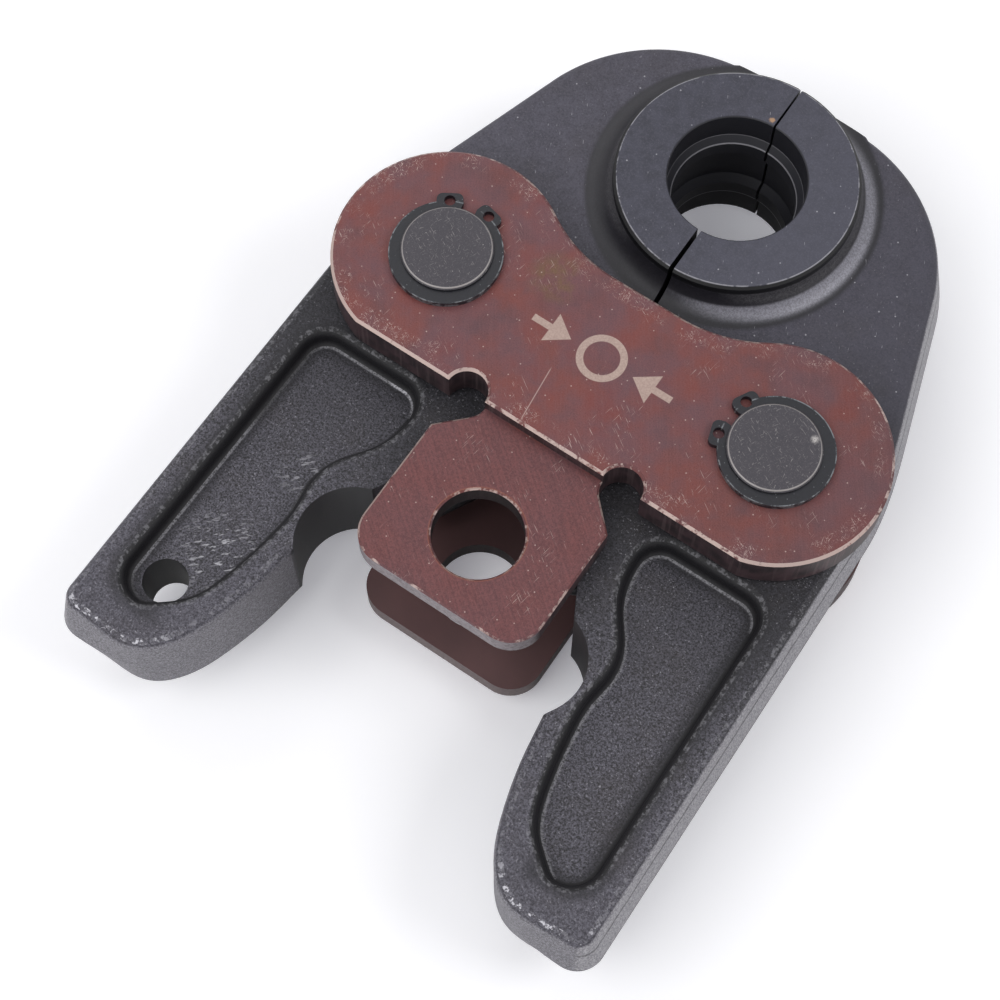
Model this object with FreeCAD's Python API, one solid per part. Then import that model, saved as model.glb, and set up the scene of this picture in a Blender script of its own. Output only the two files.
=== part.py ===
# Pressing jaw for pipe fittings: two forged arms that swing on two pins between two side plates.
# Frame in millimetres: the origin is the middle of the bolt bore in the tab, halfway between
# the plates. X runs across the jaw, Y from the bolt to the dies, Z is square to the plates.
import FreeCAD
import Part
import math
import os

Vector = FreeCAD.Vector

# Places of the main axes
pin_spacing = 59.4
bolt_to_pins = 34.9
pins_to_die = 37.7

# Side plates
plate_thickness = 6.5
plate_gap = 20.0
lobe_radius = 18.2
lobe_cut = 0.7
waist_height = 11.1
waist_flat = 12.0
tab_width = 32.0
bolt_to_tab_end = 12.2
tab_corner = 5.5
tab_recess = 2.6
relief_diameter = 6.6
relief_spacing = 28.0
plate_chamfer = 0.45
tab_chamfer = 0.3
bolt_bore_diameter = 14.2
bolt_bore_chamfer = 0.35

# Pivot pins and their retaining rings
pin_diameter = 14.5
pin_reach = 1.8
pin_chamfer = 0.35
plate_bore_clearance = 0.03
arm_bore_clearance = 0.06
groove_diameter = 13.8
groove_play = 0.08
ring_thickness = 1.0
ring_wide = 2.5
ring_narrow = 1.6
ring_gap = 2.4
lug_width = 4.2
lug_reach = 3.0
lug_corner = 1.0
lug_hole_diameter = 1.8
lug_hole_in = 1.3
lug_root_clearance = 0.2
lug_turn_share = 0.8
left_ring_turn = 99.0
right_ring_turn = 174.0

# Forged arms
arm_thickness = 18.0
hub_clearance = 0.2
hub_to_pocket = 1.5
inner_clearance = 0.5
die_gap = 0.3
inner_arc_drop = 22.0
head_radius = 29.7
head_side = 9.5
head_drop = 6.7
head_turn = 17.7
lever_side_hub = 18.5
lever_side_tip = 19.2
lever_length = 79.0
tip_corner = 4.5
forged_edge = 1.5
forged_draft = 1.9
roller_radius = 8.95
roller_in = 13.7
roller_drop = 45.2
roller_start = 74.0
roller_end = -41.8

# Cam face: how far each point is beside the pin, and its share of the way from roller seat to tip
cam_sides = [-5.9, -4.1, -1.2, 3.2]
cam_shares = [0.27, 0.523, 0.77, 0.926]

# Pocket in each face of a lever
pocket_depth = 3.4
pocket_top_drop = 18.6
pocket_corner = 4.2
pocket_side = 11.9
pocket_tip_corner = 4.8
pocket_wall = 6.6
pocket_tip_wall = 8.4
pocket_rim_round = 1.5
pocket_floor_round = 1.3
pocket_inner_side = -8.9
# Inner side of the pocket, from the tip up: how far each point is beside the wall of the roller
# seat, and its share of the way down, which is 0 at the top corner, 1 at the roller, 2 at the tip
pocket_inner_sides = [10.25, 6.4, 3.75, 2.1, 1.85, 2.4, 1.35, -2.3]
pocket_inner_shares = [1.953, 1.814, 1.547, 1.186, 1.015, 0.804, 0.58, 0.339]
hanging_hole_diameter = 7.15
hanging_hole_side = 6.9
hanging_hole_above_tip = 13.7

# Raised die in the head of the arms
boss_radius = 19.7
boss_width = 28.9
boss_chamfer = 0.5
boss_fillet = 4.5
die_land_diameter = 22.3
die_rib_diameter = 20.2
die_groove_diameter = 22.6
die_rib_pitch = 12.6
die_rib_count = 2
die_rib_width = 2.9
die_rib_flank = 1.3
die_entry_chamfer = 0.25

# Return spring
wire_diameter = 2.0
coil_drop = 17.5
coil_radius = 3.9
coil_pitch = 2.15
coil_full_turns = 3
coil_arcs_per_turn = 8
spring_bend_radius = 2.0
spring_wall_gap = 2.6
spring_seat_to_roller = 6.1
spring_seat_depth = 4.0
spring_seat_clearance = 0.15

half_spacing = pin_spacing / 2
half_gap = plate_gap / 2
plate_outer = half_gap + plate_thickness
die_y = bolt_to_pins + pins_to_die
pin_radius = pin_diameter / 2
lower_edge_drop = lobe_radius - lobe_cut
hub_radius = pocket_top_drop - pocket_rim_round - hub_to_pocket


def at(x, y, z=0.0):
    """A point given from the middle of the line through the pins."""
    return Vector(x, bolt_to_pins + y, z)


def line(start, end):
    return Part.LineSegment(start, end).toShape()


def polar(centre, radius, degrees):
    angle = math.radians(degrees)
    return centre + Vector(radius * math.cos(angle), radius * math.sin(angle), 0)


def arc(centre, radius, start, end):
    middle = (start + end) / 2
    points = [polar(centre, radius, degrees) for degrees in (start, middle, end)]
    return Part.Arc(*points).toShape()


def curve(points, start_way, end_way):
    """A smooth curve through the points, with its direction at each end given as a unit vector."""
    spline = Part.BSplineCurve()
    spline.interpolate(Points=points, InitialTangent=start_way, FinalTangent=end_way, Scale=False)
    return spline.toShape()


def face_of(edges):
    return Part.Face(Part.Wire(Part.__sortEdges__(edges)))


def slab(face, bottom, top):
    lifted = face.copy()
    lifted.translate(Vector(0, 0, bottom))
    return lifted.extrude(Vector(0, 0, top - bottom))


def disc(centre, radius, bottom, top):
    return Part.makeCylinder(radius, top - bottom, Vector(centre.x, centre.y, bottom))


def turned(points, centre):
    """A solid of revolution about an axis along Z, from points given as radius and height."""
    corners = [Vector(radius, 0, height) for radius, height in points]
    outline = Part.makePolygon(corners + corners[:1])
    solid = Part.Face(outline).revolve(Vector(0, 0, 0), Vector(0, 0, 1), 360)
    solid.translate(Vector(centre.x, centre.y, 0))
    return solid


def flat_edges(shape, height, keep):
    """Edges that lie level at a height and pass a test on their middle point."""
    found = []
    for edge in shape.Edges:
        box = edge.BoundBox
        if abs(box.ZMin - height) > 1e-4 or abs(box.ZMax - height) > 1e-4:
            continue
        middle = edge.valueAt((edge.FirstParameter + edge.LastParameter) / 2)
        if keep(middle):
            found.append(edge)
    return found


def body_edges(relief):
    """Half outline of a plate's thick body: waist, lobe, lower edge, relief hole and step to the tab."""
    flat = waist_flat / 2
    reach = half_spacing - flat
    radius = (reach ** 2 + waist_height ** 2 - lobe_radius ** 2) / (2 * (lobe_radius - waist_height))
    centre = at(flat, waist_height + radius)
    lobe = at(half_spacing, 0)
    turn = math.degrees(math.atan2(centre.y - lobe.y, centre.x - lobe.x))
    relief_radius = relief_diameter / 2
    corner_turn = math.degrees(math.asin(lower_edge_drop / lobe_radius))
    return [
        line(at(0, waist_height), at(flat, waist_height)),
        arc(centre, radius, -90, turn - 180),
        arc(lobe, lobe_radius, turn, -corner_turn),
        line(polar(lobe, lobe_radius, -corner_turn), polar(relief, relief_radius, 0)),
        arc(relief, relief_radius, 0, 180),
        line(polar(relief, relief_radius, 180), Vector(0, relief.y, 0)),
    ]


def tab_edges(relief):
    """Half outline of the thinner tab, below the step."""
    relief_radius = relief_diameter / 2
    side = tab_width / 2
    shoulder = polar(relief, relief_radius, 225)
    shoulder_end = Vector(side, shoulder.y - (side - shoulder.x), 0)
    corner = Vector(side - tab_corner, tab_corner - bolt_to_tab_end, 0)
    step_end = polar(relief, relief_radius, 180)
    return [
        line(Vector(0, relief.y, 0), step_end),
        arc(relief, relief_radius, 180, 225),
        line(shoulder, shoulder_end),
        line(shoulder_end, polar(corner, tab_corner, 0)),
        arc(corner, tab_corner, 0, -90),
        line(polar(corner, tab_corner, -90), Vector(0, -bolt_to_tab_end, 0)),
    ]


def both_halves(half):
    return half + [edge.mirror(Vector(0, 0, 0), Vector(1, 0, 0)) for edge in half]


def make_plate():
    relief = at(relief_spacing / 2, -lower_edge_drop)
    body = slab(face_of(both_halves(body_edges(relief))), half_gap, plate_outer)
    body = body.makeChamfer(plate_chamfer, flat_edges(body, plate_outer, lambda point: True))
    tab_face = plate_outer - tab_recess
    tab = slab(face_of(both_halves(tab_edges(relief))), half_gap, tab_face)
    tab_rim = flat_edges(tab, tab_face, lambda point: point.y < relief.y - 1e-3)
    tab = tab.makeChamfer(tab_chamfer, tab_rim)
    bore_radius = bolt_bore_diameter / 2
    mouth = bore_radius + bolt_bore_chamfer
    bore = turned([
        (0, half_gap - 1), (bore_radius, half_gap - 1), (bore_radius, tab_face - bolt_bore_chamfer),
        (mouth, tab_face), (mouth, plate_outer), (0, plate_outer),
    ], Vector(0, 0, 0))
    plate = body.fuse(tab).removeSplitter().cut(bore)
    for side in (-1, 1):
        pin_centre = at(side * half_spacing, 0)
        plate = plate.cut(disc(pin_centre, pin_radius + plate_bore_clearance, 0, plate_outer + 1))
    return plate


def make_pin(side):
    end = plate_outer + pin_reach
    groove_in = plate_outer
    groove_out = plate_outer + ring_thickness + 2 * groove_play
    groove_radius = groove_diameter / 2
    upper = [
        (pin_radius, groove_in), (groove_radius, groove_in), (groove_radius, groove_out),
        (pin_radius, groove_out), (pin_radius, end - pin_chamfer), (pin_radius - pin_chamfer, end),
    ]
    lower = [(radius, -height) for radius, height in reversed(upper)]
    return turned([(0, -end)] + lower + upper + [(0, end)], at(side * half_spacing, 0))


def make_ring(side, turn):
    """An external retaining ring, thinner toward its open end, with an eyed lug on each side."""
    inner = groove_diameter / 2
    offset = (ring_wide - ring_narrow) / 2
    outer = inner + (ring_wide + ring_narrow) / 2
    bottom = plate_outer + groove_play
    top = bottom + ring_thickness
    ring = disc(Vector(-offset, 0, 0), outer, bottom, top)
    hole_radius = lug_hole_diameter / 2
    for way in (-1, 1):
        lug = Part.makeBox(inner + lug_reach, lug_width, ring_thickness, Vector(0, -lug_width / 2, bottom))
        corners = [edge for edge in lug.Edges
                   if edge.Vertexes[0].X > inner and abs(edge.tangentAt(0).z) > 0.9]
        lug = lug.makeFillet(lug_corner, corners)
        eye = disc(Vector(inner + lug_reach - lug_hole_in, 0, 0), hole_radius, bottom, top)
        lug = lug.cut(eye)
        spread = math.degrees(math.asin((ring_gap + lug_width) / 2 / inner))
        for piece in (lug, eye):
            piece.rotate(Vector(0, 0, 0), Vector(0, 0, 1), way * spread * lug_turn_share)
        shield = disc(Vector(0, 0, 0), inner + lug_root_clearance, bottom, top)
        ring = ring.cut(eye).fuse(lug.cut(shield))
    ring = ring.cut(disc(Vector(0, 0, 0), inner, bottom - 1, top + 1))
    slot = Part.makeBox(outer + lug_reach, ring_gap, ring_thickness + 2, Vector(0, -ring_gap / 2, bottom - 1))
    ring = ring.cut(slot).removeSplitter()
    ring.rotate(Vector(0, 0, 0), Vector(0, 0, 1), turn)
    ring.translate(at(side * half_spacing, 0))
    return ring


def from_pin(side, drop):
    """A point of the right arm given from its own pin."""
    return at(half_spacing + side, drop)


def down_lever(sides, shares, drops):
    """Points beside the pin, where the whole shares lie at these drops below it."""
    placed = []
    for side, share in zip(sides, shares):
        span = min(int(share), len(drops) - 2)
        drop = drops[span] + (drops[span + 1] - drops[span]) * (share - span)
        placed.append(from_pin(side, -drop))
    return placed


inner_radius = half_spacing - inner_clearance
inner_arc_turn = 180 + math.degrees(math.asin(inner_arc_drop / inner_radius))
inner_arc_end = polar(from_pin(0, 0), inner_radius, inner_arc_turn)
roller_centre = from_pin(-roller_in, -roller_drop)
roller_edge = polar(roller_centre, roller_radius, roller_start)


def arm_outline(inset):
    """Inner and outer edges of the right arm, the forged outer side set in by its draft."""
    pin = from_pin(0, 0)
    head_reach = head_radius - inset
    tip_reach = tip_corner - inset
    head = Vector(head_side, die_y - head_drop, 0)
    split_x = die_gap / 2
    split_turn = math.degrees(math.acos((split_x - head.x) / head_reach))
    split_top = polar(head, head_reach, split_turn)
    cusp = polar(roller_centre, roller_radius, roller_end)
    tip_centre = from_pin(lever_side_tip - tip_corner, tip_corner - lever_length)
    tip_start = polar(tip_centre, tip_reach, -90)
    cam = down_lever(cam_sides, cam_shares, [bolt_to_pins - cusp.y, lever_length])
    cam = [cusp] + cam + [tip_start]
    hub_side = from_pin(lever_side_hub - inset, 0)
    head_start = polar(head, head_reach, head_turn)
    head_way = polar(Vector(0, 0, 0), 1, head_turn + 90)
    shoulder = head_start - head_way * (pins_to_die / 2)
    inner = [
        line(split_top, from_pin(-inner_radius, 0)),
        arc(pin, inner_radius, 180, inner_arc_turn),
        line(inner_arc_end, roller_edge),
        arc(roller_centre, roller_radius, roller_start, roller_end),
        curve(cam, (cam[1] - cam[0]).normalize(), Vector(1, 0, 0)),
    ]
    outer = [
        arc(tip_centre, tip_reach, -90, 0),
        line(polar(tip_centre, tip_reach, 0), hub_side),
        curve([hub_side, shoulder, head_start], Vector(0, 1, 0), head_way),
        arc(head, head_reach, head_turn, split_turn),
    ]
    return inner, outer


def pocket_face():
    """Outline of the pocket halfway up its rounded wall."""
    top_y = -pocket_top_drop
    corner = from_pin(pocket_side - pocket_corner, top_y - pocket_corner)
    inner_corner = from_pin(pocket_inner_side + pocket_corner, top_y - pocket_corner)
    tip = from_pin(lever_side_tip - pocket_wall - pocket_tip_corner,
                   -lever_length + pocket_tip_wall + pocket_tip_corner)
    side_turn = math.degrees(math.asin(
        (tip.x - corner.x + pocket_tip_corner - pocket_corner) / (corner.y - tip.y)))
    tip_end = polar(tip, pocket_tip_corner, -90)
    inner_end = polar(inner_corner, pocket_corner, 180)
    drops = [bolt_to_pins - inner_end.y, roller_drop, bolt_to_pins - tip_end.y]
    seat_side = roller_radius - roller_in
    sides = [seat_side + side for side in pocket_inner_sides]
    inner = [tip_end] + down_lever(sides, pocket_inner_shares, drops) + [inner_end]
    return face_of([
        arc(inner_corner, pocket_corner, 180, 90),
        line(polar(inner_corner, pocket_corner, 90), polar(corner, pocket_corner, 90)),
        arc(corner, pocket_corner, 90, side_turn),
        line(polar(corner, pocket_corner, side_turn), polar(tip, pocket_tip_corner, side_turn)),
        arc(tip, pocket_tip_corner, side_turn, -90),
        curve(inner, Vector(-1, 0, 0), Vector(0, 1, 0)),
    ])


def on_any(point, edges):
    vertex = Part.Vertex(point.x, point.y, 0)
    return any(vertex.distToShape(edge)[0] < 1e-3 for edge in edges)


def die_cutter():
    """The opening of the closed dies: plain lands at both ends and pressing ribs between them."""
    rib = die_rib_diameter / 2
    land = die_land_diameter / 2
    groove = die_groove_diameter / 2
    half_rib = die_rib_width / 2
    end = boss_width / 2
    first = -die_rib_pitch * (die_rib_count - 1) / 2
    wall = [(land + die_entry_chamfer + 1, -end - 1), (land + die_entry_chamfer, -end),
            (land, -end + die_entry_chamfer)]
    foot = half_rib + die_rib_flank
    wall.append((land, first - foot))
    for number in range(die_rib_count):
        height = first + number * die_rib_pitch
        wall.append((rib, height - half_rib))
        wall.append((rib, height + half_rib))
        if number < die_rib_count - 1:
            wall.append((groove, height + foot))
            wall.append((groove, height + die_rib_pitch - foot))
    wall.append((land, -first + foot))
    wall += [(radius, -height) for radius, height in reversed(wall[:3])]
    return turned([(0, -end - 1)] + wall + [(0, end + 1)], Vector(0, die_y, 0))


def make_boss(outline):
    """Raised ring round the dies, its foot a hollow fillet, kept inside an outline."""
    flank = arm_thickness / 2
    end = boss_width / 2
    foot = boss_radius + boss_fillet
    bend = boss_fillet * (1 - math.sqrt(0.5))
    top = [
        Part.Arc(Vector(foot, 0, flank), Vector(boss_radius + bend, 0, flank + bend),
                 Vector(boss_radius, 0, flank + boss_fillet)).toShape(),
        line(Vector(boss_radius, 0, flank + boss_fillet), Vector(boss_radius, 0, end - boss_chamfer)),
        line(Vector(boss_radius, 0, end - boss_chamfer), Vector(boss_radius - boss_chamfer, 0, end)),
        line(Vector(boss_radius - boss_chamfer, 0, end), Vector(0, 0, end)),
    ]
    bottom = [edge.mirror(Vector(0, 0, 0), Vector(0, 0, 1)) for edge in top]
    axis = line(Vector(0, 0, -end), Vector(0, 0, end))
    rim = line(Vector(foot, 0, -flank), Vector(foot, 0, flank))
    boss = face_of(top + bottom + [axis, rim]).revolve(Vector(0, 0, 0), Vector(0, 0, 1), 360)
    boss.translate(Vector(0, die_y, 0))
    return boss.common(slab(outline, -end, end))


def spring_seat():
    """Middle of the seat's mouth in the right arm's inner wall, and the way into the wall."""
    along = (roller_edge - inner_arc_end).normalize()
    into = Vector(-along.y, along.x, 0)
    return roller_edge - along * spring_seat_to_roller, into


def coil_arcs(centre, start_turn, sweep, height):
    """The coil as short arcs through points of its helix, clockwise as it rises."""
    count = math.ceil(sweep / 360 * coil_arcs_per_turn)

    def point(share):
        return polar(centre, coil_radius, start_turn - sweep * share) + Vector(0, 0, height * (share - 0.5))

    arcs = []
    for number in range(count):
        shares = [(number + part) / count for part in (0, 0.5, 1)]
        arcs.append(Part.Arc(*[point(share) for share in shares]).toShape())
    return arcs


def leg_turn_past(centre, point):
    """Direction of a leg that leaves the coil and passes a point of the wall at the named gap."""
    reach = point - centre
    return math.degrees(math.atan2(reach.y, reach.x)
                        - math.asin((coil_radius + spring_wall_gap) / reach.Length))


def spring_path():
    """Edges of the coil and its two legs, and the stretch of the right leg inside its seat."""
    mouth, into = spring_seat()
    centre = at(0, -coil_drop)
    leg_turn = min(leg_turn_past(centre, inner_arc_end), leg_turn_past(centre, mouth))
    leaving_turn = leg_turn + 90
    sweep = coil_full_turns * 360 + 180 - 2 * leaving_turn
    height = coil_pitch * sweep / 360
    coil = coil_arcs(centre, 180 - leaving_turn, sweep, height)
    leaving = polar(centre, coil_radius, leaving_turn)
    leg_way = polar(Vector(0, 0, 0), 1, leg_turn)
    leg_run = (mouth - leaving).cross(into).z / leg_way.cross(into).z
    rise = coil_pitch / (2 * math.pi * coil_radius)
    leaving += Vector(0, 0, height / 2)
    elbow = leaving + (leg_way + Vector(0, 0, rise)) * leg_run
    wall_distance = (mouth - elbow).dot(into)
    way = (elbow - leaving).normalize()
    half_bend = way.getAngle(into) / 2
    inset = spring_bend_radius * math.tan(half_bend)
    bend_start = elbow - way * inset
    bend_end = elbow + into * inset
    bend_centre = elbow + (into - way).normalize() * (spring_bend_radius / math.cos(half_bend))
    bend_middle = bend_centre + (elbow - bend_centre).normalize() * spring_bend_radius
    leg_end = elbow + into * (wall_distance + spring_seat_depth)
    leg = [line(leaving, bend_start), Part.Arc(bend_start, bend_middle, bend_end).toShape(),
           line(bend_end, leg_end)]
    other = []
    for edge in leg:
        copy = edge.copy()
        copy.rotate(Vector(0, 0, 0), Vector(0, 1, 0), 180)
        other.append(copy)
    return coil + leg + other, bend_end, leg_end


def make_spring():
    edges, bend_end, leg_end = spring_path()
    path = Part.Wire(Part.__sortEdges__(edges))
    first = path.OrderedEdges[0]
    start = path.OrderedVertexes[0].Point
    way = first.tangentAt(first.FirstParameter)
    section = Part.Wire(Part.makeCircle(wire_diameter / 2, start, way))
    return path.makePipeShell([section], True, False)


def make_right_arm():
    inner, outer = arm_outline(0)
    outline = face_of(inner + outer)
    flank = arm_thickness / 2
    inner, outer = arm_outline(forged_draft)
    top_outline = face_of(inner + outer)
    rim = top_outline.OuterWire.copy()
    rim.translate(Vector(0, 0, flank))
    half = Part.makeLoft([outline.OuterWire, rim], True, True)
    arm = half.fuse(half.mirror(Vector(0, 0, 0), Vector(0, 0, 1))).removeSplitter()
    rounded = [edge for height in (-flank, flank)
               for edge in flat_edges(arm, height, lambda point: on_any(point, outer))]
    arm = arm.makeFillet(forged_edge, rounded)
    hub = half_gap - hub_clearance
    arm = arm.fuse([make_boss(top_outline), disc(from_pin(0, 0), hub_radius, -hub, hub)])
    arm = arm.removeSplitter()
    floor = flank - pocket_depth
    pocket = slab(pocket_face(), floor, flank + 1)
    pocket = pocket.makeFillet(pocket_floor_round, flat_edges(pocket, floor, lambda point: True))
    pocket_rim = pocket_face().Edges
    arm = arm.cut([pocket, pocket.mirror(Vector(0, 0, 0), Vector(0, 0, 1))])
    rims = [edge for height in (-flank, flank)
            for edge in flat_edges(arm, height, lambda point: on_any(point, pocket_rim))]
    arm = arm.makeFillet(pocket_rim_round, rims)
    arm = arm.cut(die_cutter())
    arm = arm.cut(disc(from_pin(0, 0), pin_radius + arm_bore_clearance, -hub - 1, hub + 1))
    edges, bend_end, leg_end = spring_path()
    seat_way = leg_end - bend_end
    seat_radius = wire_diameter / 2 + spring_seat_clearance
    seat = Part.makeCylinder(seat_radius, seat_way.Length + spring_seat_clearance, bend_end, seat_way)
    return arm.cut(seat)


def make_left_arm(right_arm):
    """The same forging turned over, with a hole for hanging the jaw up."""
    arm = right_arm.copy()
    arm.rotate(Vector(0, 0, 0), Vector(0, 1, 0), 180)
    hole = from_pin(hanging_hole_side, hanging_hole_above_tip - lever_length)
    return arm.cut(disc(Vector(-hole.x, hole.y, 0), hanging_hole_diameter / 2, -half_gap, half_gap))


def turned_over(shape):
    copy = shape.copy()
    copy.rotate(Vector(0, 0, 0), Vector(0, 1, 0), 180)
    return copy


top_plate = make_plate()
right_arm = make_right_arm()
left_ring = make_ring(-1, left_ring_turn)
right_ring = make_ring(1, right_ring_turn)
parts = {
    "top_side_plate": top_plate,
    "bottom_side_plate": turned_over(top_plate),
    "left_pivot_pin": make_pin(-1),
    "right_pivot_pin": make_pin(1),
    "top_left_retaining_ring": left_ring,
    "top_right_retaining_ring": right_ring,
    "bottom_left_retaining_ring": turned_over(right_ring),
    "bottom_right_retaining_ring": turned_over(left_ring),
    "right_arm": right_arm,
    "left_arm": make_left_arm(right_arm),
    "return_spring": make_spring(),
}
os.makedirs("parts", exist_ok=True)
for name, shape in parts.items():
    solid = shape.Solids[0] if len(shape.Solids) == 1 else shape
    solid.exportStep("parts/" + name + ".step")
    print(name, len(shape.Solids), shape.isValid(), round(shape.Volume, 1))
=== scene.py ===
# Looks of the pressing jaw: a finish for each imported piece, the floor, the lights and the camera.
# The scene is in metres. Patterns and masks of the finishes are in millimetres on the pieces.
import math

import bmesh
import bpy
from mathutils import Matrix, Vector


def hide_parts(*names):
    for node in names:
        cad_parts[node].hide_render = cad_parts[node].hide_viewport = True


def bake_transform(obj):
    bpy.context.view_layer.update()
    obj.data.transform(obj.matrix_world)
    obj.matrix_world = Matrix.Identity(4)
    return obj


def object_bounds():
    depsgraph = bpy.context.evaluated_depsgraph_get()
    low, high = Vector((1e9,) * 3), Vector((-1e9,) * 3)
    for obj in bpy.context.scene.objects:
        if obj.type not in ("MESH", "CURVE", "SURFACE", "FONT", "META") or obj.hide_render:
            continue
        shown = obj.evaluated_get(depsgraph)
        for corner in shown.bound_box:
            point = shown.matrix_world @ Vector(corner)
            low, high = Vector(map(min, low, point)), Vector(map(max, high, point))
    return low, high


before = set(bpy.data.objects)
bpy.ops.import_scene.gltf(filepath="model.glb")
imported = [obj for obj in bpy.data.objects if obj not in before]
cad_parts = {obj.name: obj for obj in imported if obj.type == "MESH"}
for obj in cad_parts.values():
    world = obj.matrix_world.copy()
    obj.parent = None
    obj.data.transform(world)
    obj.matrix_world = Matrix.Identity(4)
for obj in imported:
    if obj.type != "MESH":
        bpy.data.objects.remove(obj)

cad_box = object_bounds()

# Camera, as the photograph was taken
camera_place = (0.06793, -0.09391, 0.32279)
camera_turn = (21.4289, 0.0, 34.2659)
lens_length = 79.886

# Sizes of the jaw that the finishes follow
pin_side = 29.7
pin_level = 34.9
pin_radius = 7.25
pin_rim_in = 0.28
die_level = 72.6
boss_radius = 19.7
boss_end = 14.45
boss_chamfer = 0.5
boss_fillet = 4.5
die_land_radius = 11.15
land_foot = 9.05
rib_edge = 7.75
arm_face = 9.0
parting_level = 0.0
upper_line_level = 5.4
pocket_floor = 5.6
pocket_outer_side = 44.5
pocket_inner_side = 38.5
pocket_side = 41.8
pocket_side_lean = 0.0163
pocket_top = 16.3
pocket_end = -35.7
pocket_corner = 4.2
plate_face = 16.5
plate_inner = 10.0
tab_face = 13.9
lobe_radius = 18.2
lobe_side = 21.4
waist_flat = 6.0
waist_level = 46.0
waist_radius = 24.9
step_level = 17.4
bolt_bore_radius = 7.1
roller_side = 16.0
roller_level = -10.3
roller_radius = 8.95
hanging_hole = (-36.6, -30.4)
hanging_hole_radius = 3.575
ring_face = 17.58
ring_outer = 8.95
ring_shift = 0.45
ring_turns = (99.0, 174.0)

# Where masks fade in, from the first value to the second, and the band of the pocket's top wall
head_start = (40.0, 58.0)
lever_start = (24.0, 18.0)
tip_start = (-8.0, -38.0)
shade_toward_plates = (-14.0, 16.0)
pocket_side_limit = (46.0, 45.0)
pocket_end_limit = (-38.4, -37.6)
end_wall_start = (-26.0, -30.0)
tab_front_start = (-7.0, -9.0)
top_wall_levels = (11.5, 17.5)

# Where the legs of the spring leave its coil and where they start to follow their arms
leg_start = (5.2, 16.2)

# How near, in metres, two points of the spring's copied mesh are merged
weld_distance = 1e-6

# Etched sign on each side plate: a ring between two arrows
sign_level = 33.3
sign_ring_radius = 3.4
sign_stroke = 1.15
arrow_tip = 5.6
arrow_back = 9.4
arrow_slope = 0.72
arrow_end = 12.6

# Marks of use, and painted highlights at the feet of the pocket walls and on the pocket floors: across,
# along and radius of each patch, and its share where there are several
wear_and_highlight_patches = ((-25.2, 13.4, 5.0, 1.0), (-21.0, 10.5, 3.0, 0.8), (-40.5, -8.0, 6.0, 0.5))
rippled_patches = ((-32.5, -22.0, 9.0, 1.0), (-29.8, -4.5, 5.0, 0.7))
olive_patch = (-13.3, 40.8, 5.5)
dark_patch = (-11.9, 50.8, 6.5)
pin_chip = (34.0, 39.3, 0.9)
crumb_place = (-1.0, 84.6)
scratch_side = -2.7
scratch_lean = 0.10
scratch_levels = (18.5, 27.0)

# White sheet and even light round the jaw
sheet_half = 2.5
sheet_white = (0.97, 0.97, 0.98, 1)
sheet_glow = (0.19, 0.19, 0.21, 1)
no_glow = (0, 0, 0, 1)
surround_white = (1, 1, 1, 1)
surround_light = 0.40

# Lamps: name, way from the middle of the jaw, size and power
jaw_middle = (0, 0.025, 0)
lamp_distance = 0.7
softboxes = (
    ("front_softbox", (-0.25, -0.55, 0.8), 0.5, 2.0),
    ("right_softbox", (0.6, 0.2, 0.78), 0.3, 1.3),
    ("left_softbox", (-0.6, 0.4, 0.7), 0.5, 0.8),
)


def tint(code):
    """A colour written as six hexadecimal digits, made linear for a node's socket."""
    parts = [int(code[place:place + 2], 16) / 255 for place in (0, 2, 4)]
    return [part / 12.92 if part < 0.04045 else ((part + 0.055) / 1.055) ** 2.4 for part in parts] + [1]


class Value:
    """A socket that works in Python sums."""

    def __init__(self, nodes, socket):
        self.nodes = nodes
        self.socket = socket

    def sum(self, operation, first, second=0.0):
        return self.nodes.node("ShaderNodeMath", {"operation": operation}, {0: first, 1: second})

    def __add__(self, other):
        return self.sum("ADD", self, other)

    def __sub__(self, other):
        return self.sum("SUBTRACT", self, other)

    def __rsub__(self, other):
        return self.sum("SUBTRACT", other, self)

    def __mul__(self, other):
        return self.sum("MULTIPLY", self, other)

    def __abs__(self):
        return self.sum("ABSOLUTE", self)

    __radd__ = __add__
    __rmul__ = __mul__


class Nodes:
    """A node tree that grows by one method."""

    def __init__(self, owner):
        owner.use_nodes = True
        self.tree = owner.node_tree

    def node(self, kind, settings=None, values=None, output=0):
        node = self.tree.nodes.new(kind)
        for name, setting in (settings or {}).items():
            setattr(node, name, setting)
        for name, value in (values or {}).items():
            self.feed(node.inputs[name], value)
        return Value(self, node.outputs[output])

    def feed(self, socket, value):
        if isinstance(value, Value):
            self.tree.links.new(value.socket, socket)
        else:
            socket.default_value = value

    def most(self, *masks):
        found = masks[0]
        for mask in masks[1:]:
            found = found.sum("MAXIMUM", found, mask)
        return found

    def least(self, *masks):
        found = masks[0]
        for mask in masks[1:]:
            found = found.sum("MINIMUM", found, mask)
        return found

    def blend(self, mask, first, second):
        return self.node("ShaderNodeMix", {"data_type": "RGBA"}, {"Factor": mask, 6: first, 7: second}, 2)


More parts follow.
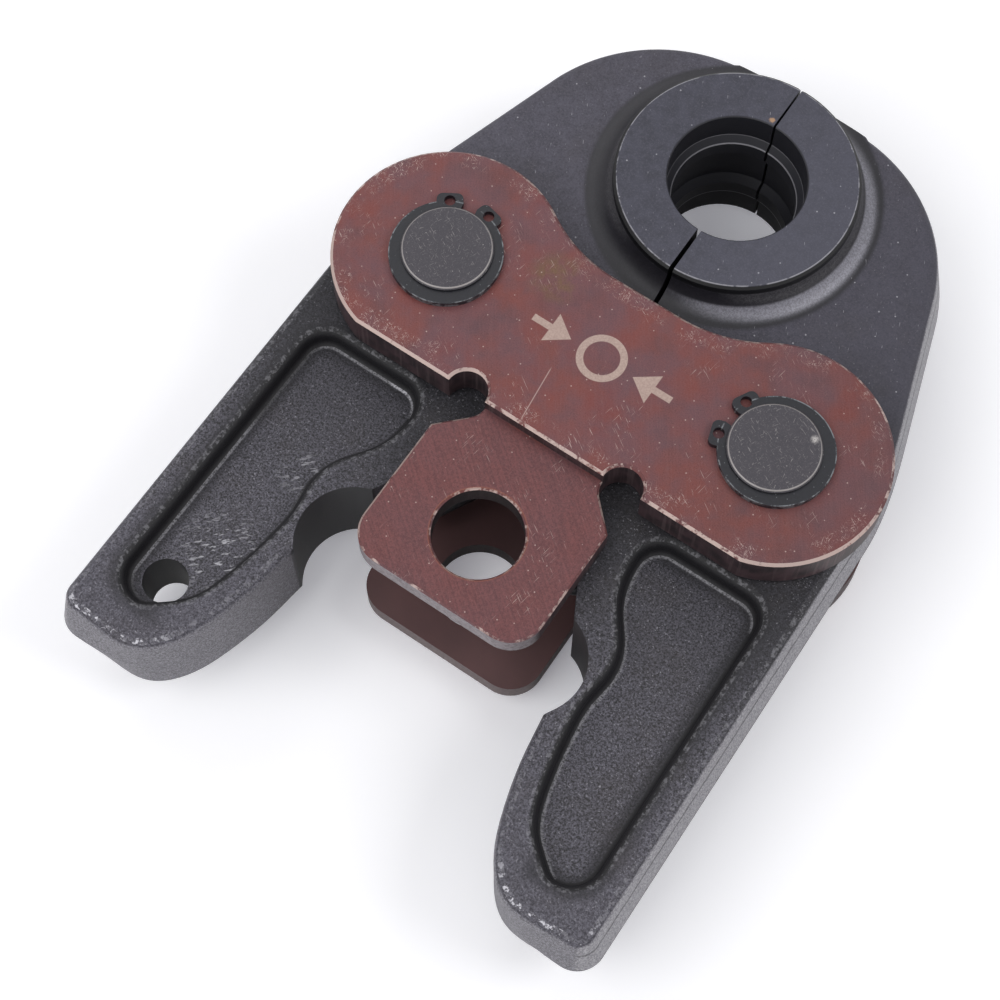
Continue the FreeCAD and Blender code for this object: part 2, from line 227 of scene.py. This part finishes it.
class Finish(Nodes):
    """A material in the making, with the place on the piece in millimetres."""

    def __init__(self, name):
        self.material = bpy.data.materials.new(name)
        super().__init__(self.material)
        self.shader = self.tree.nodes["Principled BSDF"]
        place = self.node("ShaderNodeTexCoord", output="Object")
        self.place = self.node("ShaderNodeVectorMath", {"operation": "SCALE"}, {0: place, "Scale": 1000})
        facing = self.node("ShaderNodeTexCoord", output="Normal")
        self.x, self.y, self.z = self.split(self.place)
        self.facing_x, self.facing_y, self.facing_z = self.split(facing)
        self.side = abs(self.x)
        self.height = abs(self.z)
        self.level = abs(self.facing_z)
        self.outward = self.facing_x * self.sign(self.x)
        self.steep = self.fade(self.level, 0.75, 0.45)

    def split(self, vector):
        parts = self.node("ShaderNodeSeparateXYZ", values={0: vector}).socket.node
        return [Value(self, output) for output in parts.outputs]

    def sign(self, value):
        return self.node("ShaderNodeMath", {"operation": "SIGN"}, {0: value})

    def fade(self, value, start, end):
        """Rises smoothly from 0 to 1 as the value goes from start to end."""
        values = {"Value": value, "From Min": start, "From Max": end}
        return self.node("ShaderNodeMapRange", {"interpolation_type": "SMOOTHSTEP"}, values)

    def band(self, value, low, high, soft):
        """Is 1 between two limits, with soft ends."""
        return self.fade(value, low - soft, low) * self.fade(value, high + soft, high)

    def line(self, value, place, half):
        """A fine line where the value passes a place."""
        return self.fade(abs(value - place), half, half * 0.35)

    def distance(self, x, y, across=None):
        """Distance from an axis along Z; across stands in for X, such as its size on both sides."""
        across = self.x if across is None else across
        return self.reach(across - x, self.y - y)

    def reach(self, x, y):
        vector = self.node("ShaderNodeCombineXYZ", values={0: x, 1: y})
        return self.node("ShaderNodeVectorMath", {"operation": "LENGTH"}, {0: vector}, "Value")

    def spot(self, x, y, radius):
        """A soft round patch seen from above."""
        return self.fade(self.distance(x, y), radius, radius * 0.25)

    def spots(self, patches):
        """Soft round patches, each with its own share."""
        return self.most(*[self.spot(x, y, radius) * share for x, y, radius, share in patches])

    def laid(self, size, stretch=(1, 1, 1), turn=0.0, shift=0.0):
        """The place on the piece for a pattern of that size, stretched along turned axes."""
        turned = self.node("ShaderNodeMapping", {"vector_type": "POINT"},
                           {"Vector": self.place, "Location": (shift, 2 * shift, -shift),
                            "Rotation": (0, 0, math.radians(turn))})
        scale = [1 / (size * part) for part in stretch]
        return self.node("ShaderNodeVectorMath", {"operation": "MULTIPLY"}, {0: turned, 1: scale})

    def noise(self, size, detail=2.0, rough=0.5, **layout):
        values = {"Vector": self.laid(size, **layout), "Scale": 1.0, "Detail": detail, "Roughness": rough}
        return self.node("ShaderNodeTexNoise", None, values)

    def cells(self, size, **layout):
        """Distance to the middle of random cells of that size."""
        values = {"Vector": self.laid(size, **layout), "Scale": 1.0}
        return self.node("ShaderNodeTexVoronoi", None, values, "Distance")

    def scratches(self, turn, length=2.6, width=0.13, shift=0.0, share=0.70):
        """Short straight scratches along one direction."""
        lines = self.noise(width, detail=1.0, stretch=(length / width, 1, length / width),
                           turn=turn, shift=shift)
        return self.fade(lines, share, share + 0.06)

    def bump(self, height, depth):
        """Relief in which a height of 1 stands the depth in millimetres above a height of 0."""
        return self.node("ShaderNodeBump", None, {"Height": height, "Distance": depth / 1000})

    def set(self, **sockets):
        """Feeds the shader's sockets, named with underscores."""
        for name, value in sockets.items():
            socket = name.replace("_", " ").title().replace("Ior", "IOR")
            self.feed(self.shader.inputs[socket], value)
        return self.material


def forged_steel():
    """Blackened forging: grainy skin, smooth die ring, machined seats and rubbed ridges, with painted shade
    and painted highlights.
    """
    f = Finish("blackened_forging")
    from_die = f.distance(0, die_level)
    flat = f.fade(f.level, 0.97, 0.995)
    grain = f.noise(0.24, detail=3.0, rough=0.7)
    fine = f.noise(0.36, detail=3.0, rough=0.7, shift=6.0)
    coarse = f.noise(0.7, detail=3.0, rough=0.65, shift=36.0)
    pits = f.cells(0.5, shift=3.0)
    patches = f.noise(9.0, detail=3.0, rough=0.6, shift=11.0)
    mottle = f.noise(2.2, detail=3.0, rough=0.65, shift=17.0)

    in_boss = f.fade(from_die, boss_radius + 0.15, boss_radius + 0.02)
    boss_top = in_boss * f.fade(f.height, boss_end - 0.15, boss_end - 0.02)
    foot = boss_radius + boss_fillet
    fillet = f.fade(from_die, foot + 0.3, foot - 0.6) * (1 - in_boss)
    bore = f.fade(from_die, die_land_radius + 0.4, die_land_radius + 0.2)
    head = f.fade(f.y, *head_start) * (1 - in_boss)
    lever = f.fade(f.y, *lever_start)
    toward_tip = f.fade(f.y, *tip_start)

    facing_out = f.fade(f.outward, 0.1, 0.3) * f.fade(f.side, pocket_outer_side, pocket_outer_side - 1)
    facing_in = f.fade(f.outward, -0.1, -0.3) * f.fade(f.side, pocket_inner_side, pocket_inner_side + 1)
    facing_head = f.fade(f.facing_y, 0.1, 0.3) * f.fade(f.y, *end_wall_start)
    facing_tip = f.fade(f.facing_y, -0.1, -0.3) * f.band(f.y, *top_wall_levels, 1.0)
    facing_wall = f.most(facing_out, facing_in, facing_head, facing_tip)
    in_pocket = facing_wall * lever * f.fade(f.height, pocket_floor - 0.3, pocket_floor)
    in_pocket = in_pocket * f.fade(f.side, *pocket_side_limit) * f.fade(f.y, *pocket_end_limit)
    wall = in_pocket * f.fade(f.level, 0.999, 0.90)
    lit_foot = f.most(f.fade(f.facing_y, 0.0, -0.1), f.fade(f.outward, 0.0, 0.1) * f.fade(f.x, -5.0, 5.0),
                      f.fade(f.outward, 0.0, -0.1) * f.fade(f.x, 5.0, -5.0) * 0.6)
    floor_foot = in_pocket * lit_foot * f.band(f.level, 0.86, 0.975, 0.02) * f.fade(f.height, 6.9, 6.2)
    floor = lever * f.fade(f.height, pocket_floor + 0.6, pocket_floor + 0.1) * f.fade(f.level, 0.85, 0.95)
    rim = f.band(f.level, 0.80, 0.985, 0.012) * f.fade(f.height, arm_face - 1.2, arm_face - 0.8) * lever

    beyond_side = f.side - pocket_side + pocket_side_lean * f.y
    beyond_end = f.most(f.y - pocket_top, pocket_end - f.y)
    from_corner = f.reach(f.most(beyond_side + pocket_corner, 0.0), f.most(beyond_end + pocket_corner, 0.0))
    shade = f.fade(abs(from_corner - pocket_corner), 3.0, 1.2) * lever * (1 - f.steep)
    shade = shade * f.most(f.fade(f.side, 31.0, 35.0), f.fade(f.side, 20.0, 23.5) * f.fade(f.y, 0.0, 5.0))

    seat = f.fade(abs(f.distance(roller_side, roller_level, f.side) - roller_radius), 0.5, 0.2)
    hole = f.fade(f.distance(*hanging_hole), hanging_hole_radius + 0.3, hanging_hole_radius + 0.05)
    flank = f.steep * lever * (1 - in_pocket) * (1 - hole)
    smooth = f.most(f.most(seat, hole) * f.steep, in_boss, fillet * 0.85)

    grit = 0.5 * grain + 0.5 * fine
    skin = f.blend(f.fade(grit, 0.40, 0.60), tint("0f0e12"), tint("5e5c66"))
    rail = f.blend(f.fade(grit, 0.38, 0.62), tint("2f2d35"), tint("62606a"))
    skin = f.blend(toward_tip * (1 - floor) * 0.9, skin, rail)
    # Painted shade: the levers darken toward the side plates that shade them.
    skin = f.blend(f.fade(f.y, *shade_toward_plates) * (0.75 - 0.35 * floor), skin, tint("121116"))
    satin_and_shade = f.blend(f.fade(mottle, 0.3, 0.7), tint("3f3d48"), tint("4b4955"))
    satin_and_shade = f.blend(f.fade(grit, 0.42, 0.64) * 0.45, satin_and_shade, tint("605e68"))
    satin_and_shade = f.blend(f.fade(grit, 0.50, 0.36) * 0.45, satin_and_shade, tint("2a2931"))
    # Painted shade: the head darkens toward the right, away from the light.
    satin_and_shade = f.blend(f.fade(f.x, -5.0, 45.0) * 0.6, satin_and_shade, tint("383742"))
    skin = f.blend(shade * 0.65, skin, tint("121116"))
    skin = f.blend(head * 0.9, skin, satin_and_shade)
    skin = f.blend(f.fade(patches, 0.45, 0.80) * 0.30, skin, tint("332e2d"))
    side_grit = f.fade(grit, 0.40, 0.62)
    side_grain = f.blend(side_grit, tint("37353b"), tint("68666e"))
    tip_grain = f.blend(side_grit, tint("5c5a61"), tint("98969e"))
    side_grain = f.blend(toward_tip, side_grain, tip_grain)
    outer_side = f.steep * f.fade(f.outward, 0.35, 0.6) * (1 - in_pocket) * (1 - in_boss) * (1 - bore)
    skin = f.blend(flank * (1 - seat) * f.fade(f.y, 2.0, -14.0), skin, side_grain)
    skin = f.blend(flank * seat, skin, tint("242428"))
    # Painted reflection of the white floor: the outer sides of the arms are lightened, over their grain.
    skin = f.blend(outer_side * 0.9, skin, f.blend(side_grit, tint("77757c"), tint("b6b4ba")))
    # Painted shade: the pocket walls, the boss's foot fillet and the hanging hole's wall are darkened.
    skin = f.blend(f.most(wall, fillet * 0.8, hole * f.steep), skin, tint("131216"))
    skin = f.blend(in_boss, skin, tint("0c0c0f"))
    skin = f.blend(bore, skin, tint("24242a"))
    ring = f.blend(f.fade(mottle, 0.25, 0.75), tint("33333d"), tint("40404c"))
    ring = f.blend(f.fade(f.x, -12.0, 16.0) * 0.5, ring, tint("4e4e5a"))
    ring = f.blend(f.fade(grit, 0.46, 0.62) * 0.35, ring, tint("5c5c68"))
    skin = f.blend(boss_top, skin, ring)

    # Painted highlight: a bright streak on the side of the boss's foot fillet that faces right.
    to_right = 0.98 * f.facing_x - 0.19 * f.facing_y
    painted_crest_highlight = fillet * f.band(f.level, 0.72, 0.93, 0.10) * f.fade(to_right, 0.10, 0.40)
    skin = f.blend(painted_crest_highlight * (0.55 + 0.4 * f.fade(grit, 0.40, 0.60)), skin, tint("8f8e98"))
    drawn = f.z + 0.8 * mottle - 0.4
    drawn_lines = f.most(f.line(drawn, parting_level, 0.34), f.line(drawn, upper_line_level, 0.40) * 0.7)
    seam = drawn_lines * outer_side
    skin = f.blend(seam * 0.85, skin, tint("1b1a1e"))

    glint = f.fade(grain, 0.57, 0.68) * f.fade(pits, 0.50, 0.30) * (1 - smooth) * (1 - wall * 0.9)
    glint = glint * (1 - shade * 0.6) * (0.45 + 0.55 * f.fade(patches, 0.35, 0.6)) * (1 - head * 0.75)
    # The ripples on the left pocket floor are bumped relief, and their bright colour is a painted glint.
    ripples = f.noise(0.42, detail=2.0, rough=0.6, stretch=(3.4, 1, 1), turn=-42.0, shift=5.0)
    rippled = f.spots(rippled_patches) * floor * f.fade(ripples, 0.54, 0.64)
    long_foot = f.fade(f.x, -30.0, -36.0) * f.band(f.y, -30.0, -4.0, 4.0) * 0.7
    right_foot = f.fade(f.x, 5.0, 15.0) * 0.3
    top_foot = f.fade(f.facing_y, -0.15, -0.30) * 0.35
    # Painted highlight with wear: bright grainy silver at the feet of the pocket walls that face the lamps,
    # strongest in the listed patches.
    silver = f.most(long_foot, right_foot, top_foot, f.spots(wear_and_highlight_patches))
    foot_wear_and_highlight = floor_foot * (0.22 + 0.78 * silver) * f.fade(grit, 0.36, 0.58)
    rim_wear = rim * f.fade(f.noise(0.8, detail=2.0, rough=0.75, shift=2.0), 0.46, 0.66)
    chipping = f.noise(1.3, detail=3.0, rough=0.7, shift=9.0)
    chips = rim * f.fade(f.y, -34.0, -42.0) * f.fade(chipping, 0.54, 0.60)
    edge = f.line(from_die, boss_radius - boss_chamfer, 0.13)
    edge = edge * f.fade(f.height, boss_end - 0.3, boss_end - 0.1)
    edge = edge * f.fade(f.noise(3.0, detail=3.0, rough=0.75, shift=19.0), 0.40, 0.55)
    # Painted highlights: bright lines along the rib edges inside the die bore.
    rib_highlights = f.most(f.line(f.height, rib_edge, 0.22), f.line(f.height, land_foot, 0.12) * 0.35) * bore
    satin_flats = f.most(boss_top, head * flat)
    specks = f.fade(f.cells(2.3, shift=21.0), 0.075, 0.045) * satin_flats
    dents = f.scratches(62.0, length=1.2, width=0.2, shift=23.0, share=0.74) * satin_flats
    bright = f.most(glint * 0.6, rippled * 0.7, foot_wear_and_highlight * 0.8, rim_wear * 0.22, chips * 0.9,
                    edge * 0.55, rib_highlights * 0.6, specks * 0.6, dents * 0.5)
    colour = f.blend(bright, skin, tint("b4b3ba"))
    from_crumb = f.distance(*crumb_place)
    crumb = f.fade(from_crumb + 0.9 * coarse, 1.05, 0.70) * f.fade(f.z, boss_end - 1.0, boss_end - 0.5)
    colour = f.blend(crumb, colour, tint("a8866a"))

    rough = 0.50 + 0.14 * grain - 0.10 * smooth - 0.12 * bright - 0.06 * head
    relief = (grain * 0.4 + fine * 0.7 + (1 - pits) * 0.2) * (1 - smooth * 0.92) * (1 - head * 0.6)
    relief = relief + 1.6 * rippled - 1.5 * seam
    return f.set(base_color=colour, roughness=rough, metallic=0.10 + 0.6 * bright,
                 specular_ior_level=0.4, normal=f.bump(relief, 0.10))


def plate_edge(f):
    """How far the plate's outline lies from a point of its face, in millimetres."""
    past_flat = f.most(f.side - waist_flat, 0.0)
    waist = f.reach(past_flat, f.y - (waist_level + waist_radius)) - waist_radius
    out_of_reach = 50 * f.fade(f.side, lobe_side + 0.1, lobe_side - 0.1)
    lobe = lobe_radius - f.distance(pin_side, pin_level, f.side) + out_of_reach
    return f.least(waist, lobe, f.y - step_level)


def etched_sign(f):
    """A ring between two arrows that point at it."""
    level = abs(f.y - sign_level)
    half = sign_stroke / 2
    ring = f.fade(abs(f.reach(f.x, f.y - sign_level) - sign_ring_radius), half + 0.06, half - 0.06)
    shaft = f.fade(level, half + 0.06, half - 0.06) * f.fade(f.side, arrow_back - 0.3, arrow_back)
    shaft = shaft * f.fade(f.side, arrow_end, arrow_end - 0.12)
    point = f.fade(level - arrow_slope * (f.side - arrow_tip), 0.08, -0.08)
    point = point * f.fade(f.side, arrow_back, arrow_back - 0.12)
    return f.most(ring, shaft, point)


def browned_plate():
    """Heat-browned side plate: burgundy browning, scuffed edges, milled tab and an etched sign, with
    painted shade and a painted sheen.
    """
    f = Finish("browned_plate")
    flat = 1 - f.steep
    face = f.fade(f.height, plate_face - 0.1, plate_face - 0.02)
    on_tab = f.fade(f.y, step_level - 0.1, step_level - 0.4)
    tab = f.fade(f.height, tab_face - 0.2, tab_face - 0.05) * on_tab
    inner = f.fade(f.height, plate_inner + 0.3, plate_inner + 0.1)
    edge = plate_edge(f)

    clouds = f.noise(8.0, detail=3.0, rough=0.5, shift=4.0)
    mottle = f.noise(3.0, detail=4.0, rough=0.55, shift=8.0)
    blots = f.noise(6.0, detail=3.0, rough=0.55, shift=27.0)
    milling = f.noise(0.34, detail=1.0, stretch=(20, 1, 20), turn=38.0, shift=6.0)
    grain = f.noise(0.22, detail=2.0, rough=0.6)
    peel = f.noise(0.5, detail=3.0, rough=0.6, shift=31.0)
    grinding = f.noise(0.24, detail=1.0, stretch=(26, 1, 26), turn=56.0)

    film_and_shade = f.blend(f.fade(clouds, 0.34, 0.66), tint("684449"), tint("753f3b"))
    film_and_shade = f.blend(f.fade(blots, 0.45, 0.80) * 0.45, film_and_shade, tint("74302a"))
    film_and_shade = f.blend(f.fade(mottle, 0.42, 0.72) * 0.35, film_and_shade, tint("5a474f"))
    film_and_shade = f.blend(f.fade(blots, 0.52, 0.22) * 0.40, film_and_shade, tint("463238"))
    olive = f.spot(*olive_patch) * f.fade(mottle, 0.35, 0.6)
    film_and_shade = f.blend(olive * 0.85, film_and_shade, tint("6b5236"))
    dark = f.spot(*dark_patch) * f.fade(mottle, 0.3, 0.55)
    film_and_shade = f.blend(dark * 0.85, film_and_shade, tint("463b40"))
    # Painted shade: the plate darkens toward the right, away from the light.
    film_and_shade = f.blend(f.fade(f.x, 0.0, 45.0) * 0.22, film_and_shade, tint("432c2c"))
    film_and_shade = f.blend(f.fade(grinding, 0.45, 0.7) * 0.12, film_and_shade, tint("7c5757"))
    peeled = f.blend(f.fade(peel * 0.6 + milling * 0.4, 0.35, 0.65), tint("563336"), tint("6e4243"))
    film_and_shade = f.blend(tab * 0.8, film_and_shade, peeled)
    film_and_shade = f.blend(f.fade(grain, 0.45, 0.75) * 0.30, film_and_shade, tint("7c5a58"))
    film_and_shade = f.blend(f.fade(grain, 0.48, 0.30) * 0.30, film_and_shade, tint("3c2628"))
    # Painted shade: the inner faces, between the plates, are darker.
    film_and_shade = f.blend(inner * flat, film_and_shade, f.blend(clouds, tint("4c3839"), tint("664848")))
    wall = f.blend(f.fade(mottle, 0.35, 0.65), tint("2b2225"), tint("453438"))
    streaks = f.noise(0.5, detail=2.0, stretch=(1, 1, 30), shift=33.0)
    wall = f.blend(f.fade(streaks, 0.5, 0.7) * 0.4, wall, tint("6a5a5c"))
    # Painted shade: the bolt bore's wall is darkened.
    bolt_bore = f.fade(f.distance(0, 0), bolt_bore_radius + 0.3, bolt_bore_radius + 0.1)
    wall = f.blend(bolt_bore * 0.75, wall, tint("140e10"))
    front = f.fade(f.y, *tab_front_start)
    bare = f.blend(f.fade(peel, 0.3, 0.7), tint("7c7277"), tint("a0989d"))
    bare = f.blend(f.fade(f.z, -5.0, -10.0) * 0.7, bare, tint("5b4a48"))
    wall = f.blend(front, wall, bare)
    film_and_shade = f.blend(f.steep, film_and_shade, wall)

    chamfer = f.band(f.level, 0.64, 0.80, 0.10)
    breaks = f.noise(2.2, detail=3.0, rough=0.8, shift=12.0)
    # The chamfers are rubbed bright, more at the lower corners and along the step, where a painted sheen is
    # added to the wear.
    lower_left = f.fade(f.x, -12.0, -20.0) * f.fade(f.y, 30.0, 24.0)
    lower_right = f.fade(f.x, 33.0, 38.0) * f.fade(f.y, 38.0, 30.0)
    step = f.fade(abs(f.y - step_level), 0.9, 0.3)
    share = 0.30 + 0.60 * f.most(lower_left, lower_right, step * 0.45)
    edge_wear_and_sheen = chamfer * f.fade(breaks + share * 0.35, 0.58, 0.72)
    near = f.band(edge, 0.6, 2.6, 0.6) * face
    scuff_lines = f.most(f.scratches(20.0, length=0.9, width=0.10, shift=1.0, share=0.65),
                         f.scratches(-48.0, length=0.8, width=0.10, shift=2.0, share=0.66),
                         f.scratches(75.0, length=1.0, width=0.10, shift=3.0, share=0.66))
    scuffs = near * scuff_lines * f.fade(f.noise(5.0, detail=3.0, shift=13.0), 0.44, 0.58)
    loose = f.most(f.scratches(34.0, length=2.4, shift=4.0, share=0.68),
                   f.scratches(-80.0, length=2.8, shift=5.0, share=0.69))
    shown_flats = flat * (1 - inner)
    loose = loose * f.fade(f.noise(7.0, detail=2.0, shift=14.0), 0.50, 0.66) * shown_flats
    flecks = f.fade(f.cells(1.5, shift=29.0), 0.10, 0.05) * shown_flats
    long_scratch = f.line(f.x + scratch_lean * f.y, scratch_side, 0.12)
    long_scratch = long_scratch * f.band(f.y, *scratch_levels, 1.0) * face
    bore_edge = f.line(f.distance(0, 0), bolt_bore_radius + 0.2, 0.35) * tab
    wear_and_sheen = f.most(edge_wear_and_sheen * 0.75, scuffs * 0.6, loose * 0.5, flecks * 0.5, long_scratch * 0.4)
    colour = f.blend(wear_and_sheen, film_and_shade, tint("cdb9b2"))
    colour = f.blend(bore_edge * 0.35, colour, tint("a5644c"))
    sign = etched_sign(f) * face
    hatch = f.noise(0.28, detail=1.0, shift=15.0)
    colour = f.blend(sign, colour, f.blend(hatch, tint("96807a"), tint("bba69c")))
    bright = f.most(wear_and_sheen, sign * 0.5)

    rough = 0.44 + 0.12 * mottle + 0.05 * grain - 0.10 * wear_and_sheen + 0.12 * sign
    relief = grinding * 0.25 + grain * 0.35 + peel * 0.7 * tab - 0.6 * sign
    return f.set(base_color=colour, roughness=rough, metallic=0.20 + 0.55 * bright,
                 specular_ior_level=0.42, normal=f.bump(relief, 0.035))


def pin_steel():
    """Dark pin with fine scratches on its end and a thin bright rim."""
    f = Finish("pin_steel")
    from_axis = f.distance(pin_side, pin_level, f.side)
    face = 1 - f.steep
    mottle = f.noise(1.8, detail=4.0, rough=0.65)
    grain = f.noise(0.25, detail=3.0, rough=0.7)
    base = f.blend(mottle, tint("35333a"), tint("454248"))
    base = f.blend(f.fade(grain, 0.5, 0.75) * 0.5, base, tint("6b676b"))
    base = f.blend(f.steep, base, tint("17171b"))
    rim = f.line(from_axis, pin_radius - pin_rim_in, 0.14) * f.fade(f.height, ring_face, ring_face + 0.2)
    rim = rim * f.fade(f.noise(2.0, detail=3.0, rough=0.7, shift=3.0), 0.22, 0.40)
    lines = f.most(f.scratches(25.0, length=1.6, shift=6.0, share=0.68),
                   f.scratches(-60.0, length=1.4, shift=7.0, share=0.68),
                   f.scratches(80.0, length=0.9, shift=8.0, share=0.70)) * face
    specks = f.fade(f.cells(1.3, shift=12.0), 0.09, 0.05) * face
    chip = f.spot(*pin_chip) * f.fade(grain, 0.35, 0.5) * f.fade(f.z, 17.0, 17.5)
    bright = f.most(rim * 0.6, lines * 0.30, specks * 0.45, chip * 0.7)
    colour = f.blend(bright, base, tint("c2bdbb"))
    return f.set(base_color=colour, roughness=0.46 + 0.12 * mottle - 0.1 * bright,
                 metallic=0.25 + 0.5 * bright, normal=f.bump(grain + lines * -0.6, 0.025))


def ring_steel():
    """Black spring-steel rings with thin pale edges."""
    f = Finish("ring_steel")
    turned_side = f.x * f.sign(f.z)
    lines = []
    for pin, turn in zip((-pin_side, pin_side), ring_turns):
        way = math.radians(turn)
        middle = (pin - ring_shift * math.cos(way), pin_level - ring_shift * math.sin(way))
        lines.append(f.line(f.distance(*middle, turned_side), ring_outer - 0.08, 0.14))
    grain = f.noise(0.5, detail=3.0, rough=0.6)
    edge = f.most(*lines) * f.fade(f.noise(1.5, detail=3.0, rough=0.7, shift=5.0), 0.42, 0.60)
    nicks = f.fade(f.cells(0.9, shift=4.0), 0.12, 0.06)
    base = f.blend(grain, tint("0a0a10"), tint("1a1b24"))
    colour = f.blend(f.most(edge * 0.6, nicks * 0.35), base, tint("92969b"))
    return f.set(base_color=colour, roughness=0.34 + 0.2 * grain, metallic=0.15,
                 normal=f.bump(grain, 0.05))


def spring_wire():
    """Oiled dark spring wire."""
    f = Finish("spring_wire")
    mottle = f.noise(0.8, detail=3.0)
    colour = f.blend(mottle, tint("2a2a2c"), tint("4a4a4d"))
    return f.set(base_color=colour, roughness=0.3 + 0.15 * mottle, metallic=0.8,
                 normal=f.bump(mottle, 0.02))


def dress(finish, *nodes):
    """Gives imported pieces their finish."""
    for name in nodes:
        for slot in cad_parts[name].material_slots:
            slot.material = finish


def bending_leg(finish, side, with_coil):
    """One leg of the spring, cut from the spring's mesh where the leg leaves the coil; the right one keeps
    the coil.
    """
    name = "return_spring_right" if side > 0 else "return_spring_left"
    mesh = bpy.data.meshes.new(name)
    cut = bmesh.new()
    cut.from_mesh(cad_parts["return_spring"].data)
    bmesh.ops.remove_doubles(cut, verts=cut.verts, dist=weld_distance)
    keep = 1 if with_coil else -1
    split = bmesh.ops.bisect_plane(cut, geom=cut.verts[:] + cut.edges[:] + cut.faces[:],
                                   plane_co=(-leg_start[0] / 1000, 0, 0), plane_no=(-keep, 0, 0),
                                   clear_outer=True)
    rim = [part for part in split["geom_cut"] if isinstance(part, bmesh.types.BMEdge)]
    bmesh.ops.edgeloop_fill(cut, edges=rim)
    bmesh.ops.recalc_face_normals(cut, faces=cut.faces)
    for face in cut.faces:
        face.smooth = True
    cut.to_mesh(mesh)
    cut.free()
    mesh.materials.clear()
    mesh.materials.append(finish)
    leg = bpy.data.objects.new(name, mesh)
    bpy.context.scene.collection.objects.link(leg)
    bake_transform(leg)
    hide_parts("return_spring")


def white_sheet(level):
    """A white sheet under the jaw that reads as the background and keeps the shadow."""
    material = bpy.data.materials.new("white_sheet")
    sheet = Nodes(material)
    seen = sheet.node("ShaderNodeLightPath", output="Is Camera Ray")
    shader = sheet.tree.nodes["Principled BSDF"].inputs
    sheet.feed(shader["Base Color"], sheet_white)
    sheet.feed(shader["Roughness"], 0.8)
    sheet.feed(shader["Specular IOR Level"], 0.1)
    sheet.feed(shader["Emission Color"], sheet.blend(seen, no_glow, sheet_glow))
    sheet.feed(shader["Emission Strength"], 1.0)
    mesh = bpy.data.meshes.new("floor")
    cut = bmesh.new()
    bmesh.ops.create_grid(cut, x_segments=1, y_segments=1, size=sheet_half)
    bmesh.ops.translate(cut, verts=cut.verts, vec=(0, 0, level))
    cut.to_mesh(mesh)
    cut.free()
    mesh.materials.append(material)
    floor = bpy.data.objects.new("floor", mesh)
    bpy.context.scene.collection.objects.link(floor)


def white_surround(strength):
    """White for the camera and for what mirrors it, and an even light of that strength for the rest."""
    world = bpy.data.worlds.new("white_surround")
    around = Nodes(world)
    path = around.node("ShaderNodeLightPath").socket.node
    seen = around.most(*[Value(around, path.outputs[ray])
                         for ray in ("Is Camera Ray", "Is Glossy Ray", "Is Transmission Ray")])
    background = around.tree.nodes["Background"].inputs
    around.feed(background["Color"], surround_white)
    around.feed(background["Strength"], strength + (1 - strength) * seen)
    bpy.context.scene.world = world


def softbox(name, way, size, power):
    """A square lamp that looks at the middle of the jaw from one direction."""
    lamp = bpy.data.lights.new(name, "AREA")
    lamp.size = size
    lamp.energy = power
    holder = bpy.data.objects.new(name, lamp)
    away = Vector(way).normalized()
    holder.location = Vector(jaw_middle) + away * lamp_distance
    holder.rotation_euler = away.to_track_quat("Z", "Y").to_euler()
    bpy.context.scene.collection.objects.link(holder)


def camera():
    """The photograph's camera."""
    lens = bpy.data.cameras.new("camera")
    lens.lens = lens_length
    lens.clip_start = 0.01
    holder = bpy.data.objects.new("camera", lens)
    holder.location = camera_place
    holder.rotation_euler = [math.radians(angle) for angle in camera_turn]
    bpy.context.scene.collection.objects.link(holder)
    bpy.context.scene.camera = holder


dress(forged_steel(), "left_arm", "right_arm")
dress(browned_plate(), "top_side_plate", "bottom_side_plate")
dress(pin_steel(), "left_pivot_pin", "right_pivot_pin")
dress(ring_steel(), "top_left_retaining_ring", "top_right_retaining_ring",
      "bottom_left_retaining_ring", "bottom_right_retaining_ring")
wire = spring_wire()
bending_leg(wire, 1, True)
bending_leg(wire, -1, False)
white_sheet(cad_box[0].z)
white_surround(surround_light)
for lamp_setting in softboxes:
    softbox(*lamp_setting)
camera()
bpy.context.scene.view_settings.view_transform = "Standard"
